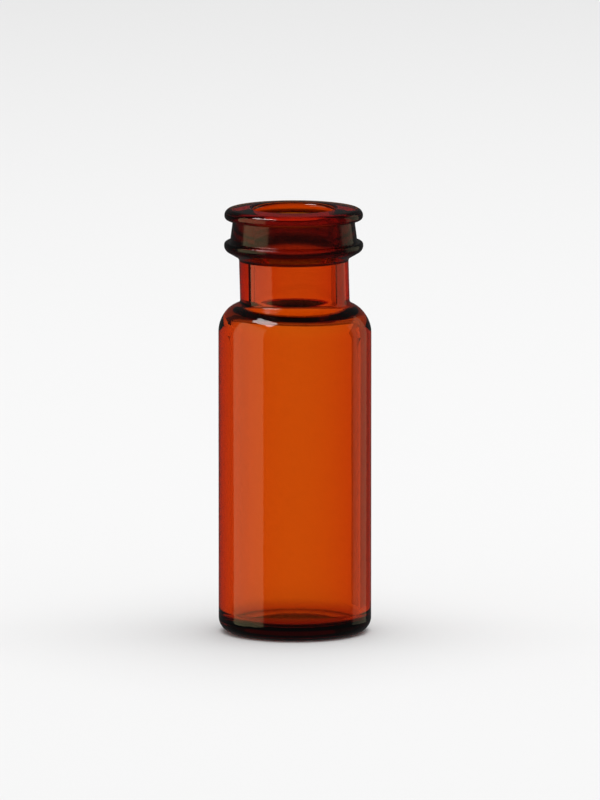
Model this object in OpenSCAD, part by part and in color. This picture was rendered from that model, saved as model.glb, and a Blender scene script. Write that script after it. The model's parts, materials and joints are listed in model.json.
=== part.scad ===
// Glass sample vial with a snap-ring collar: one piece of amber tubing glass.
// Millimetres. +Z up, origin at the centre of the circle that the base rests on.

/* [Body] */
// Outside diameter of the body
body_d = 11.6; // [11.5:0.1:13]
// Overall height, from the rest ring to the top of the lip
total_h = 32.5; // [31:0.1:36]
// Wall thickness of the body
wall_t = 0.9; // [0.8:0.05:0.95]
// Thickness of the floor, above the plane of the rest ring
floor_t = 1.0; // [0.8:0.05:1.4]
// Outside rounding of the heel, between the wall and the base
heel_r = 1.1; // [0.8:0.05:1.3]
// Inside rounding between the wall and the floor
inner_heel_r = 0.8; // [0.4:0.05:1.2]
// Diameter of the hollow pressed up under the base
dish_d = 7.0; // [5:0.1:8]
// Depth of the hollow under the base
dish_h = 0.25; // [0.1:0.05:0.4]

/* [Neck and shoulder] */
// Length of the neck and the collar together, down to the neck's foot
top_l = 7.3; // [6.9:0.1:8]
// Outside rounding of the shoulder
shoulder_r = 2.3; // [1.6:0.1:2.3]
// Inside rounding of the shoulder
inner_shoulder_r = 0.9; // [0.6:0.1:0.9]
// Thickness of the glass under the neck's foot
shoulder_t = 0.7; // [0.6:0.05:0.75]
// Outside diameter of the neck
neck_d = 8.3; // [8.1:0.05:8.3]
// Inside diameter of the bore, through the collar and the neck
bore_d = 6.2; // [5.9:0.05:6.3]

/* [Collar] */
// Outside diameter of the flange that a cap grips
flange_d = 10.5; // [10.3:0.05:10.9]
// Thickness of the flange at its rim
flange_t = 0.85; // [0.85:0.05:1.1]
// Height of the groove between the flange and the bead
groove_h = 1.75; // [1.5:0.05:1.9]
// Outside diameter of the bead below the groove
bead_d = 10.55; // [10.4:0.05:10.9]
// Height of the bead's rim
bead_h = 0.65; // [0.65:0.05:0.8]

/* [Hidden] */
$fn = 192;

// Depths to which the groove is cut in from the flange's rim and the bead's rim
groove_top_depth = 0.65;
groove_foot_depth = 0.45;
// Depth by which the flange's underside is hollowed towards the groove
flange_hook = 0.1;
// Height by which the bead's upper face climbs from the groove to its rim
bead_rise = 0.05;
// Height of the cone that leads from the bead's rim in to the neck
bead_cone_h = 0.65;
// Drop of the sloping shoulder, from the neck's foot to the body's corner
shoulder_drop = 0.75;
// The same drop inside, from the edge of the bore to the body's inner corner
inner_shoulder_drop = 0.5;
// Drop of the lip's top from the bore out to the flange's rim
lip_drop = 0.12;

// Roundings of the collar's edges and angles, from the top down
lip_r = 0.35;
flange_top_r = 0.5;
flange_under_r = 0.28;
groove_r = 0.1;
bead_top_r = 0.25;
bead_under_r = 0.5;
bead_foot_r = 0.35;
// Rounding in the angle between the neck and the shoulder
neck_foot_r = 0.4;
// Rounding of the throat, where the bore opens into the body
throat_r = 1.4;

// Every rounding circle is drawn this much too big, so that it crosses the
// straight sides beside it instead of only touching them
crossing = 0.0003;

body_r = body_d / 2;
neck_r = neck_d / 2;
bore_r = bore_d / 2;
inner_r = body_r - wall_t;
flange_r = flange_d / 2;
bead_r = bead_d / 2;

// Heights of the corners outside, from the top down
rim_top_z = total_h - lip_drop;
flange_under_z = rim_top_z - flange_t;
groove_top_z = flange_under_z + flange_hook;
groove_foot_z = groove_top_z - groove_h;
bead_top_z = groove_foot_z + bead_rise;
bead_under_z = bead_top_z - bead_h;
bead_foot_z = bead_under_z - bead_cone_h;
neck_foot_z = total_h - top_l;
shoulder_z = neck_foot_z - shoulder_drop;

// Heights of the corners inside
throat_z = neck_foot_z - shoulder_t;
inner_shoulder_z = throat_z - inner_shoulder_drop;

// Corners of the half section as [distance from the axis, height, rounding],
// from the centre of the base out and up to the rim, and back down the inside
OUTSIDE = [
    [0, 0, 0],
    [body_r, 0, heel_r],
    [body_r, shoulder_z, shoulder_r],
    [neck_r, neck_foot_z, neck_foot_r],
    [neck_r, bead_foot_z, bead_foot_r],
    [bead_r, bead_under_z, bead_under_r],
    [bead_r, bead_top_z, bead_top_r],
    [bead_r - groove_foot_depth, groove_foot_z, groove_r],
    [flange_r - groove_top_depth, groove_top_z, groove_r],
    [flange_r, flange_under_z, flange_under_r],
    [flange_r, rim_top_z, flange_top_r]
];
INSIDE = [
    [bore_r, total_h, lip_r],
    [bore_r, throat_z, throat_r],
    [inner_r, inner_shoulder_z, inner_shoulder_r],
    [inner_r, floor_t, inner_heel_r],
    [0, floor_t, 0]
];

function point(corner) = [corner[0], corner[1]];
function unit(v) = v / norm(v);
function cross_z(u, v) = u[0] * v[1] - u[1] * v[0];

// Directions from corner i of outline c towards its two neighbours
function to_last(c, i) = unit(point(c[(i + len(c) - 1) % len(c)]) - point(c[i]));
function to_next(c, i) = unit(point(c[(i + 1) % len(c)]) - point(c[i]));

// Where the rounding of corner i begins and ends, and the centre of its arc
function half_angle(c, i) = acos(to_last(c, i) * to_next(c, i)) / 2;
function setback(c, i) = c[i][2] / tan(half_angle(c, i));
function arc_start(c, i) = point(c[i]) + setback(c, i) * to_last(c, i);
function arc_end(c, i) = point(c[i]) + setback(c, i) * to_next(c, i);
function arc_centre(c, i) =
    point(c[i])
    + c[i][2] / sin(half_angle(c, i)) * unit(to_last(c, i) + to_next(c, i));

// An outline drawn anticlockwise turns left at the corners that stick out
function sticks_out(c, i) = cross_z(-to_last(c, i), to_next(c, i)) > 0;

// The slice of corner i's rounding circle between its arc and a chord. The chord
// ends a little past the arc's own ends, on the straight sides
module arc_slice(c, i) {
    past_ends = 0.2 * c[i][2];
    chord_start = arc_start(c, i) + past_ends * to_last(c, i);
    chord_end = arc_end(c, i) + past_ends * to_next(c, i);
    centre = arc_centre(c, i);
    outwards = point(c[i]) - centre;
    intersection() {
        translate(centre) circle(r = c[i][2] + crossing);
        polygon([
            chord_start,
            chord_start + outwards,
            chord_end + outwards,
            chord_end
        ]);
    }
}

// A closed outline whose corners are rounded with true arcs
module rounded_outline(c) {
    rounded = [for (i = [0 : len(c) - 1]) if (c[i][2] > 0) i];
    difference() {
        union() {
            polygon([
                for (i = [0 : len(c) - 1])
                    each c[i][2] > 0 ? [arc_start(c, i), arc_end(c, i)] : [point(c[i])]
            ]);
            for (i = rounded) if (sticks_out(c, i)) arc_slice(c, i);
        }
        for (i = rounded) if (!sticks_out(c, i)) arc_slice(c, i);
    }
}

// The circle that cuts the shallow hollow under the base
module dish() {
    dish_r = (pow(dish_d / 2, 2) + pow(dish_h, 2)) / (2 * dish_h);
    translate([0, dish_h - dish_r]) circle(r = dish_r, $fn = 1440);
}

module vial() {
    color([0.72, 0.27, 0.04, 0.75])
    rotate_extrude()
    difference() {
        rounded_outline(concat(OUTSIDE, INSIDE));
        dish();
    }
}

vial();
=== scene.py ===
"""Glass sample vial: the amber glass, its finish, and the stage that it stands on.

Everything is in metres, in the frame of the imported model. Run as a script, it makes the vial and the stage.
"""

import json
import math

import bmesh
import bpy
from bpy.props import FloatProperty, FloatVectorProperty, IntProperty, PointerProperty
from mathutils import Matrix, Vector


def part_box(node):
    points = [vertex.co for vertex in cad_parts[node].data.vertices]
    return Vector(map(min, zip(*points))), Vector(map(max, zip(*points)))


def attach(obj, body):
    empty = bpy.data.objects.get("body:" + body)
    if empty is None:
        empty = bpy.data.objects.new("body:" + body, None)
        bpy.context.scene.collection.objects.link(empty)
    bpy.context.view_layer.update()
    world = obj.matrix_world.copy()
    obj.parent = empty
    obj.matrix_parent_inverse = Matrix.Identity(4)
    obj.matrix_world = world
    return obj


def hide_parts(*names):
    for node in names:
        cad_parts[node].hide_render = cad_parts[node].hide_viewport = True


bl_info = {
    "name": "Glass Sample Vial",
    "version": (1, 0, 0),
    "blender": (4, 5, 0),
    "location": "View3D > Sidebar > Vial",
    "description": "Makes an amber glass sample vial and the stage that it stands on",
    "category": "Mesh",
}

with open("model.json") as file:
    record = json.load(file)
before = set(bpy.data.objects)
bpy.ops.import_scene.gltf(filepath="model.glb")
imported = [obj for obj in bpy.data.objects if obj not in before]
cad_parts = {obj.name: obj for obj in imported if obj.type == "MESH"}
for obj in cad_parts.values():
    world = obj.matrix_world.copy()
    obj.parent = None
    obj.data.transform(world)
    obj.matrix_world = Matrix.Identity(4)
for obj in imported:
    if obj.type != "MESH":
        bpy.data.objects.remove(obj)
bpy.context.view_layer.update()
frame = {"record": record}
BASE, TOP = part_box("vial")
MOUNTS = {m["name"]: m for m in frame["record"]["mounts"]}

MM = 0.001
BODY_R = (TOP.x - BASE.x) / 2
HEIGHT = TOP.z
BORE_R = MOUNTS["mouth"]["dims"]["r_mm"] * MM

# Sizes of the outline that a user has no need to change
FLANGE_HOOK = 0.1 * MM  # hollow of the flange's underside towards the groove
GROOVE_TOP_DEPTH = 0.65 * MM  # depth of the groove from the flange's rim
GROOVE_FOOT_DEPTH = 0.45 * MM  # depth of the groove from the bead's rim
BEAD_RISE = 0.05 * MM  # climb of the bead's upper face from the groove to its rim
BEAD_CONE = 0.65 * MM  # height of the cone from the bead's rim in to the neck
INNER_SHOULDER_DROP = 0.5 * MM  # drop from the edge of the bore to the body's inner corner

# Roundings of the outline
DISH_CURVE = 24.4 * MM
NECK_FOOT_R = 0.4 * MM
BEAD_FOOT_R = 0.35 * MM
BEAD_UNDER_R = 0.5 * MM
BEAD_TOP_R = 0.25 * MM
GROOVE_R = 0.1 * MM
FLANGE_UNDER_R = 0.28 * MM
FLANGE_TOP_R = 0.5 * MM
LIP_R = 0.35 * MM
THROAT_R = 1.4 * MM
DEGREES_A_FACE = 6  # a rounding has one face for each of these
FEWEST_FACES = 4

# Where the glass is uneven, as heights from the neck's foot
COLLAR_SHIFTED = 4 * MM
SHOULDER_STARTS, SHOULDER_FULL = -4 * MM, -1.2 * MM
SHOULDER_FADES, SHOULDER_ENDS = -0.8 * MM, 0.3 * MM
UNEVEN_RADIUS = 6 * MM  # it grows from nothing on the axis to its full height here
WAVES = 3
WAVE_TURN = 0.7  # in radians
ON_AXIS = 0.1 * MM  # what lies closer to the axis than this stays as it is
MERGE = 1e-7  # points closer than this become one

# Brightness of the world: what lights the floor, what the camera sees, and what the glass sees
SKY = 0.54
FAR_SKY = 0.95 * SKY
DARK_ROOM = 0.05

# The cards: shades, and the height and the faces of each
BLACK, PALE = 0.02, 0.9
CARD_HEIGHT = 0.4
CARD_FACES = 16


def length(name, text, default):
    """A size that a user may change, in metres."""
    return FloatProperty(
        name=name, description=text, default=default, min=0.0, unit="LENGTH", precision=5
    )


class VialSizes(bpy.types.PropertyGroup):
    """Sizes of the glass."""

    wall: length("Wall", "Thickness of the body's wall", 0.9 * MM)
    floor: length("Floor", "Thickness of the floor", 1.0 * MM)
    heel: length("Heel", "Outside rounding between wall and base", 1.1 * MM)
    inner_heel: length("Inner heel", "Inside rounding between wall and floor", 0.8 * MM)
    dish_r: length("Dish radius", "Radius of the hollow under the base", 3.5 * MM)
    dish_h: length("Dish depth", "Depth of the hollow under the base", 0.25 * MM)
    top_l: length("Top length", "Length of the neck and the collar together", 7.3 * MM)
    drop: length("Shoulder drop", "Drop of the sloping shoulder", 0.75 * MM)
    shoulder: length("Shoulder", "Outside rounding of the shoulder", 2.3 * MM)
    inner_shoulder: length("Inner shoulder", "Inside rounding of the shoulder", 0.9 * MM)
    neck_r: length("Neck radius", "Outside radius of the neck", 4.15 * MM)
    shoulder_t: length("Shoulder thickness", "Thickness of the glass under the neck's foot", 0.7 * MM)
    flange_r: length("Flange radius", "Outside radius of the flange", 5.25 * MM)
    flange_t: length("Flange thickness", "Thickness of the flange at its rim", 0.85 * MM)
    lip_drop: length("Lip drop", "How far the top slopes down from the bore to the rim", 0.12 * MM)
    groove_h: length("Groove height", "Height of the groove under the flange", 1.75 * MM)
    bead_r: length("Bead radius", "Outside radius of the bead", 5.275 * MM)
    bead_h: length("Bead height", "Height of the bead's rim", 0.65 * MM)
    collar_off: length("Collar offset", "How far the collar stands off the axis", 0.09 * MM)
    fuller: length("Shoulder fullness", "How much higher one side of the shoulder is", 0.16 * MM)
    wave: length("Shoulder wave", "Height of the waves round the shoulder", 0.04 * MM)
    steps: IntProperty(
        name="Steps", description="Faces around the vial", default=256, min=32, max=512
    )


class VialFinish(bpy.types.PropertyGroup):
    """Colour and surface of the glass."""

    tint: FloatVectorProperty(
        name="Tint",
        description="What the glass lets through, before its density is counted",
        subtype="COLOR",
        size=3,
        min=0.0,
        max=1.0,
        default=(0.935, 0.64, 0.0),
    )
    density: FloatProperty(
        name="Density",
        description="How strongly the glass takes up light, for each metre of it",
        default=4000.0,
        min=0.0,
    )
    ripple: FloatProperty(
        name="Ripple",
        description="Depth of the long faint ripples that drawing leaves in the glass",
        default=0.01 * MM,
        min=0.0,
        unit="LENGTH",
        precision=6,
    )
    ior: FloatProperty(
        name="IOR", description="Refractive index of the glass", default=1.5, min=1.0
    )
    # Painted shade: the darker colour given to the glass round the groove and the bead
    collar_shade: FloatVectorProperty(
        name="Painted collar shade",
        description="Colour of the darker skin round the groove and the bead",
        subtype="COLOR",
        size=3,
        min=0.0,
        max=1.0,
        default=(0.2, 0.26, 0.3),
    )
    # Only the roughness belongs to the surface; the darkness round the collar is painted shade
    collar_roughness: FloatProperty(
        name="Collar roughness",
        description="Roughness of the darker skin round the groove and the bead",
        default=0.14,
        min=0.0,
        max=1.0,
    )


# ---------------------------------------------------------------- the glass


def outline(s):
    """Corners of the half section as (radius, height, rounding), from the base out, up and back down."""
    rim_top = HEIGHT - s.lip_drop
    flange_under = rim_top - s.flange_t
    groove_top = flange_under + FLANGE_HOOK
    groove_foot = groove_top - s.groove_h
    bead_top = groove_foot + BEAD_RISE
    bead_under = bead_top - s.bead_h
    bead_foot = bead_under - BEAD_CONE
    neck_foot = HEIGHT - s.top_l
    shoulder = neck_foot - s.drop
    inner = BODY_R - s.wall
    throat = neck_foot - s.shoulder_t
    return [
        (0, s.dish_h, 0),
        (s.dish_r / 2, s.dish_h, DISH_CURVE),
        (s.dish_r, 0, 0),
        (BODY_R, 0, s.heel),
        (BODY_R, shoulder, s.shoulder),
        (s.neck_r, neck_foot, NECK_FOOT_R),
        (s.neck_r, bead_foot, BEAD_FOOT_R),
        (s.bead_r, bead_under, BEAD_UNDER_R),
        (s.bead_r, bead_top, BEAD_TOP_R),
        (s.bead_r - GROOVE_FOOT_DEPTH, groove_foot, GROOVE_R),
        (s.flange_r - GROOVE_TOP_DEPTH, groove_top, GROOVE_R),
        (s.flange_r, flange_under, FLANGE_UNDER_R),
        (s.flange_r, rim_top, FLANGE_TOP_R),
        (BORE_R, HEIGHT, LIP_R),
        (BORE_R, throat, THROAT_R),
        (inner, throat - INNER_SHOULDER_DROP, s.inner_shoulder),
        (inner, s.floor, s.inner_heel),
        (0, s.floor, 0),
    ]


def draw_outline(bm, corners):
    """The outline as a chain of edges in the XZ plane, with its corners rounded."""
    verts = [bm.verts.new((r, 0, z)) for r, z, _ in corners]
    for a, b in zip(verts, verts[1:]):
        bm.edges.new((a, b))
    for i, (_, _, rounding) in enumerate(corners):
        if rounding == 0:
            continue
        here = Vector(corners[i][:2])
        last = Vector(corners[i - 1][:2]) - here
        next_one = Vector(corners[i + 1][:2]) - here
        half = last.angle(next_one) / 2
        turn = math.degrees(math.pi - 2 * half)
        bmesh.ops.bevel(
            bm,
            geom=[verts[i]],
            offset=rounding / math.tan(half),
            offset_type="OFFSET",
            segments=max(FEWEST_FACES, round(turn / DEGREES_A_FACE)),
            profile=0.5,
            affect="VERTICES",
            material=-1,
        )


def new_piece(name, bm):
    """Writes a bmesh into a new object at the origin, with smooth faces."""
    mesh = bpy.data.meshes.new(name)
    bm.to_mesh(mesh)
    bm.free()
    mesh.shade_smooth()
    piece = bpy.data.objects.new(name, mesh)
    bpy.context.scene.collection.objects.link(piece)
    return piece


def ease(value, low, high):
    """Rises smoothly from 0 at low to 1 at high."""
    t = min(max((value - low) / (high - low), 0), 1)
    return t * t * (3 - 2 * t)


def hand_form(bm, s):
    """Sets the collar a little off the axis, and makes the shoulder wavy and fuller on one side."""
    foot = HEIGHT - s.top_l
    for v in bm.verts:
        x, y, z = v.co
        r = math.hypot(x, y)
        if r < ON_AXIS:
            continue
        v.co.x -= s.collar_off * ease(z, foot, foot + COLLAR_SHIFTED)
        uneven = ease(z, foot + SHOULDER_STARTS, foot + SHOULDER_FULL)
        uneven *= 1 - ease(z, foot + SHOULDER_FADES, foot + SHOULDER_ENDS)
        uneven *= ease(r, 0, UNEVEN_RADIUS)
        side = (1 - x / r) / 2
        wave = s.wave * math.sin(WAVES * math.atan2(y, x) + WAVE_TURN)
        v.co.z += uneven * (s.fuller * side**3 + wave)


class VIAL_OT_glass(bpy.types.Operator):
    """Makes the vial as one closed piece of glass"""

    bl_idname = "vial.glass"
    bl_label = "Make the glass"

    def execute(self, context):
        """Spins the outline once round the axis, then makes it as uneven as worked glass."""
        s = context.scene.vial_sizes
        bm = bmesh.new()
        draw_outline(bm, outline(s))
        bmesh.ops.spin(
            bm,
            geom=bm.verts[:] + bm.edges[:],
            cent=(0, 0, 0),
            axis=(0, 0, 1),
            angle=math.tau,
            steps=s.steps,
            use_merge=True,
        )
        bmesh.ops.remove_doubles(bm, verts=bm.verts[:], dist=MERGE)
        if not all(edge.is_manifold for edge in bm.edges):
            raise RuntimeError("the glass isn't closed")
        hand_form(bm, s)
        bmesh.ops.recalc_face_normals(bm, faces=bm.faces[:])
        glass = new_piece("glass", bm)
        glass.data.materials.append(amber_glass(context.scene.vial_finish))
        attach(glass, "root")
        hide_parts("vial")
        return {"FINISHED"}


def new_group(name, inputs, outputs):
    """A node group and its two end nodes, from inputs by name and default and outputs by name and kind."""
    group = bpy.data.node_groups.new(name, "ShaderNodeTree")
    for label, default in inputs:
        kind = "NodeSocketFloat" if isinstance(default, float) else "NodeSocketColor"
        socket = group.interface.new_socket(label, in_out="INPUT", socket_type=kind)
        socket.default_value = default
    for label, kind in outputs:
        group.interface.new_socket(label, in_out="OUTPUT", socket_type=kind)
    return group, group.nodes.new("NodeGroupInput"), group.nodes.new("NodeGroupOutput")


def painted_collar_shade():
    """A node group: painted shade round the groove and the bead, where the glass is also made slightly rough.

    It lies between two heights and outside a radius, and blends in over a short way. It's painted on,
    to darken what clear glass leaves too bright, and stands for no known coating.
    """
    group, given, made = new_group(
        "painted_collar_shade",
        inputs=(
            ("From", 28.95 * MM),
            ("To", 31.6 * MM),
            ("Inside", 3.7 * MM),
            ("Blend", 0.4 * MM),
            ("Clear", (1.0, 1.0, 1.0, 1.0)),
            # the colour of the painted shade on the collar
            ("Painted shade", (0.2, 0.26, 0.3, 1.0)),
            ("Rough", 0.14),
        ),
        outputs=(("Colour", "NodeSocketColor"), ("Roughness", "NodeSocketFloat")),
    )
    nodes, links = group.nodes, group.links

    def maths(operation, *values):
        """A Math node's result, from numbers or other nodes' outputs."""
        node = nodes.new("ShaderNodeMath")
        node.operation = operation
        for socket, value in zip(node.inputs, values):
            if isinstance(value, bpy.types.NodeSocket):
                links.new(value, socket)
            else:
                socket.default_value = value
        return node.outputs[0]

    def rises(value, edge):
        """Goes from 0 to 1 as the value passes the edge."""
        share = maths("DIVIDE", maths("SUBTRACT", value, edge), given.outputs["Blend"])
        return maths("MINIMUM", maths("MAXIMUM", share, 0.0), 1.0)

    place = nodes.new("ShaderNodeTexCoord")
    axes = nodes.new("ShaderNodeSeparateXYZ")
    links.new(place.outputs["Object"], axes.inputs[0])
    x, y, z = axes.outputs
    radius = maths("SQRT", maths("ADD", maths("MULTIPLY", x, x), maths("MULTIPLY", y, y)))
    above = rises(z, given.outputs["From"])
    below = maths("SUBTRACT", 1.0, rises(z, given.outputs["To"]))
    outside = rises(radius, given.outputs["Inside"])
    share = maths("MULTIPLY", maths("MULTIPLY", above, below), outside)
    # mixes the painted shade into the glass's base colour
    mix = nodes.new("ShaderNodeMix")
    mix.data_type = "RGBA"
    links.new(share, mix.inputs["Factor"])
    links.new(given.outputs["Clear"], mix.inputs["A"])
    links.new(given.outputs["Painted shade"], mix.inputs["B"])
    links.new(mix.outputs["Result"], made.inputs["Colour"])
    links.new(maths("MULTIPLY", share, given.outputs["Rough"]), made.inputs["Roughness"])
    return group


def fire_polish():
    """A node group: faint ripples along the glass, as in drawn and fire-polished tubing."""
    group, given, made = new_group(
        "fire_polish",
        inputs=(("Depth", 0.01 * MM), ("Across", 450.0), ("Along", 60.0)),
        outputs=(("Normal", "NodeSocketVector"),),
    )
    nodes, links = group.nodes, group.links
    place = nodes.new("ShaderNodeTexCoord")
    stretch = nodes.new("ShaderNodeCombineXYZ")
    links.new(given.outputs["Across"], stretch.inputs["X"])
    links.new(given.outputs["Across"], stretch.inputs["Y"])
    links.new(given.outputs["Along"], stretch.inputs["Z"])
    scaled = nodes.new("ShaderNodeVectorMath")
    scaled.operation = "MULTIPLY"
    links.new(place.outputs["Object"], scaled.inputs[0])
    links.new(stretch.outputs["Vector"], scaled.inputs[1])
    noise = nodes.new("ShaderNodeTexNoise")
    noise.inputs["Scale"].default_value = 1.0
    noise.inputs["Detail"].default_value = 1.0
    links.new(scaled.outputs["Vector"], noise.inputs["Vector"])
    bump = nodes.new("ShaderNodeBump")
    bump.inputs["Strength"].default_value = 1.0
    links.new(given.outputs["Depth"], bump.inputs["Distance"])
    links.new(noise.outputs["Fac"], bump.inputs["Height"])
    links.new(bump.outputs["Normal"], made.inputs["Normal"])
    return group


def amber_glass(finish):
    """Clear amber glass that tints by depth, with painted shade and a little roughness round its collar."""
    mat = bpy.data.materials.new("amber_glass")
    mat.use_nodes = True
    nodes, links = mat.node_tree.nodes, mat.node_tree.links
    shader = nodes["Principled BSDF"]
    # painted shade: the collar's base colour is darkened and its surface made a little rough
    collar = nodes.new("ShaderNodeGroup")
    collar.node_tree = painted_collar_shade()
    collar.inputs["Painted shade"].default_value = (*finish.collar_shade, 1)
    collar.inputs["Rough"].default_value = finish.collar_roughness
    links.new(collar.outputs["Colour"], shader.inputs["Base Color"])
    links.new(collar.outputs["Roughness"], shader.inputs["Roughness"])
    shader.inputs["IOR"].default_value = finish.ior
    shader.inputs["Transmission Weight"].default_value = 1.0
    skin = nodes.new("ShaderNodeGroup")
    skin.node_tree = fire_polish()
    skin.inputs["Depth"].default_value = finish.ripple
    links.new(skin.outputs["Normal"], shader.inputs["Normal"])
    tint = nodes.new("ShaderNodeVolumeAbsorption")
    tint.inputs["Color"].default_value = (*finish.tint, 1)
    tint.inputs["Density"].default_value = finish.density
    links.new(tint.outputs["Volume"], nodes["Material Output"].inputs["Volume"])
    return mat


# ---------------------------------------------------------------- the stage


def plain_material(name, colour, roughness):
    """An even, unpolished surface of one colour."""
    mat = bpy.data.materials.new(name)
    mat.use_nodes = True
    shader = mat.node_tree.nodes["Principled BSDF"]
    shader.inputs["Base Color"].default_value = (*colour, 1)
    shader.inputs["Roughness"].default_value = roughness
    shader.inputs["Specular IOR Level"].default_value = 0.0
    return mat


def area_light(name, place, target, size, strength, seen_by, colour=(1, 1, 1), shape="RECTANGLE"):
    """A soft light that faces target, whose strength is the brightness of its face.

    It does one thing only: it lights the "floor", or the glass shows it as a "mirror" or "through" itself.
    """
    width, height = size
    data = bpy.data.lights.new(name, "AREA")
    data.shape = shape
    data.size, data.size_y = width, height
    data.energy = strength * width * height * math.pi
    data.color = colour
    light = bpy.data.objects.new(name, data)
    light.location = place
    light.rotation_euler = (Vector(target) - Vector(place)).to_track_quat("-Z", "Y").to_euler()
    light.visible_camera = False
    light.visible_diffuse = seen_by == "floor"
    light.visible_glossy = seen_by == "mirror"
    light.visible_transmission = seen_by == "through"
    bpy.context.scene.collection.objects.link(light)


def around(degrees, distance, height):
    """A point at an angle to the left of straight behind the vial."""
    a = math.radians(degrees)
    return (-distance * math.sin(a), distance * math.cos(a), height)


def card(name, start, end, distance, shade):
    """A curved upright card from one angle to another, seen only through the glass."""
    bm = bmesh.new()
    foot = bm.verts.new(around(start, distance, 0))
    top = bm.verts.new(around(start, distance, CARD_HEIGHT))
    bmesh.ops.spin(
        bm,
        geom=[foot, top, bm.edges.new((foot, top))],
        cent=(0, 0, 0),
        axis=(0, 0, 1),
        angle=math.radians(end - start),
        steps=CARD_FACES,
        use_merge=False,
    )
    piece = new_piece(name, bm)
    piece.data.materials.append(plain_material(name, (shade, shade, shade), 1.0))
    piece.visible_camera = False
    piece.visible_diffuse = False
    piece.visible_glossy = False
    piece.visible_shadow = False


def light_room(scene):
    """A bright world that is nearly dark to the glass, so that its edges stay clear and deep."""
    world = bpy.data.worlds.new("studio")
    scene.world = world
    world.use_nodes = True
    nodes, links = world.node_tree.nodes, world.node_tree.links
    sky = nodes["Background"]
    sky.inputs["Color"].default_value = (1, 1, 1, 1)
    path = nodes.new("ShaderNodeLightPath")
    dark = nodes.new("ShaderNodeValue")
    dark.outputs[0].default_value = DARK_ROOM
    strength = dark.outputs[0]
    for ray, brightness in (("Is Camera Ray", FAR_SKY), ("Is Diffuse Ray", SKY)):
        add = nodes.new("ShaderNodeMath")
        add.operation = "MULTIPLY_ADD"
        add.inputs[1].default_value = brightness - DARK_ROOM
        links.new(path.outputs[ray], add.inputs[0])
        links.new(strength, add.inputs[2])
        strength = add.outputs[0]
    links.new(strength, sky.inputs["Strength"])


class VIAL_OT_stage(bpy.types.Operator):
    """Makes the floor, the lights and the camera"""

    bl_idname = "vial.stage"
    bl_label = "Make the stage"

    def execute(self, context):
        """Lays the floor, then sets out the lights, the cards, the world and the camera."""
        scene = context.scene
        bm = bmesh.new()
        bmesh.ops.create_circle(bm, segments=256, radius=4.0, cap_ends=True)
        floor = new_piece("floor", bm)
        floor.data.materials.append(plain_material("pale_floor", (0.8, 0.8, 0.8), 0.5))
        floor.visible_glossy = False

        middle = (0, 0, HEIGHT / 2)
        area_light(
            "overhead",
            place=(0.05, 0.05, 0.7),
            target=middle,
            size=(0.8, 0.8),
            strength=2.25,
            seen_by="floor",
        )
        area_light(
            "backdrop",
            place=around(-4, distance=0.6, height=0),
            target=(0, 0, 0),
            size=(0.6, 0.5),
            strength=0.2,
            seen_by="through",
        )
        area_light(
            "left_softbox",
            place=around(103, distance=0.4, height=0.11),
            target=(0, 0, 0.11),
            size=(0.44, 0.42),
            strength=0.85,
            seen_by="mirror",
            colour=(1, 0.9, 0.5),
        )
        area_light(
            "right_softbox",
            place=around(-62, distance=0.5, height=0.09),
            target=(0, 0, 0.09),
            size=(0.35, 0.43),
            strength=0.3,
            seen_by="mirror",
            colour=(1, 0.9, 0.6),
        )
        area_light(
            "high_left",
            place=around(112, distance=0.3, height=0.42),
            target=middle,
            size=(0.3, 0.14),
            strength=7.0,
            seen_by="mirror",
        )
        area_light(
            "glow_under",
            place=(0, 0, 0.02 * MM),
            target=(0, 0, 1),
            size=(9.6 * MM, 9.6 * MM),
            strength=0.18,
            seen_by="through",
            colour=(1, 0.35, 0.15),
            shape="DISK",
        )
        card("left_card", start=39, end=50, distance=0.19, shade=BLACK)
        card("right_card", start=-60, end=-38, distance=0.19, shade=BLACK)
        card("edge_card", start=-68, end=-33, distance=0.014, shade=PALE)

        light_room(scene)
        set_camera(scene)
        scene.view_settings.view_transform = "Standard"
        return {"FINISHED"}


def set_camera(scene):
    """A long lens a little above the vial's shoulder."""
    elevation = math.radians(8.4)
    distance = 0.9
    seen_height = 0.0607
    target = Vector((0.387 * MM, 0, 17.73 * MM))
    data = bpy.data.cameras.new("camera")
    data.sensor_width = 36
    data.lens = data.sensor_width * distance / seen_height
    data.clip_start, data.clip_end = 0.01, 20
    camera = bpy.data.objects.new("camera", data)
    back = Vector((0, -math.cos(elevation), math.sin(elevation)))
    camera.location = target + distance * back
    camera.rotation_euler = (-back).to_track_quat("-Z", "Y").to_euler()
    scene.collection.objects.link(camera)
    scene.camera = camera


class VIAL_PT_panel(bpy.types.Panel):
    """Shows the vial's sizes, its finish and the two buttons in the 3D view's sidebar"""

    bl_idname = "VIAL_PT_panel"
    bl_label = "Glass Sample Vial"
    bl_space_type = "VIEW_3D"
    bl_region_type = "UI"
    bl_category = "Vial"

    def draw(self, context):
        """Shows the sizes, the finish and the two buttons."""
        scene = context.scene
        for group in (scene.vial_sizes, scene.vial_finish):
            box = self.layout.box()
            for name in group.__annotations__:
                box.prop(group, name)
        self.layout.operator(VIAL_OT_glass.bl_idname)
        self.layout.operator(VIAL_OT_stage.bl_idname)


CLASSES = (VialSizes, VialFinish, VIAL_OT_glass, VIAL_OT_stage, VIAL_PT_panel)


def register():
    """Adds the classes and the scene's two groups of properties."""
    for cls in CLASSES:
        bpy.utils.register_class(cls)
    bpy.types.Scene.vial_sizes = PointerProperty(type=VialSizes)
    bpy.types.Scene.vial_finish = PointerProperty(type=VialFinish)


def unregister():
    """Takes away what register adds."""
    del bpy.types.Scene.vial_sizes
    del bpy.types.Scene.vial_finish
    for cls in reversed(CLASSES):
        bpy.utils.unregister_class(cls)


def main():
    """Makes the vial and the stage."""
    register()
    bpy.ops.vial.glass()
    bpy.ops.vial.stage()


if __name__ == "__main__":
    main()
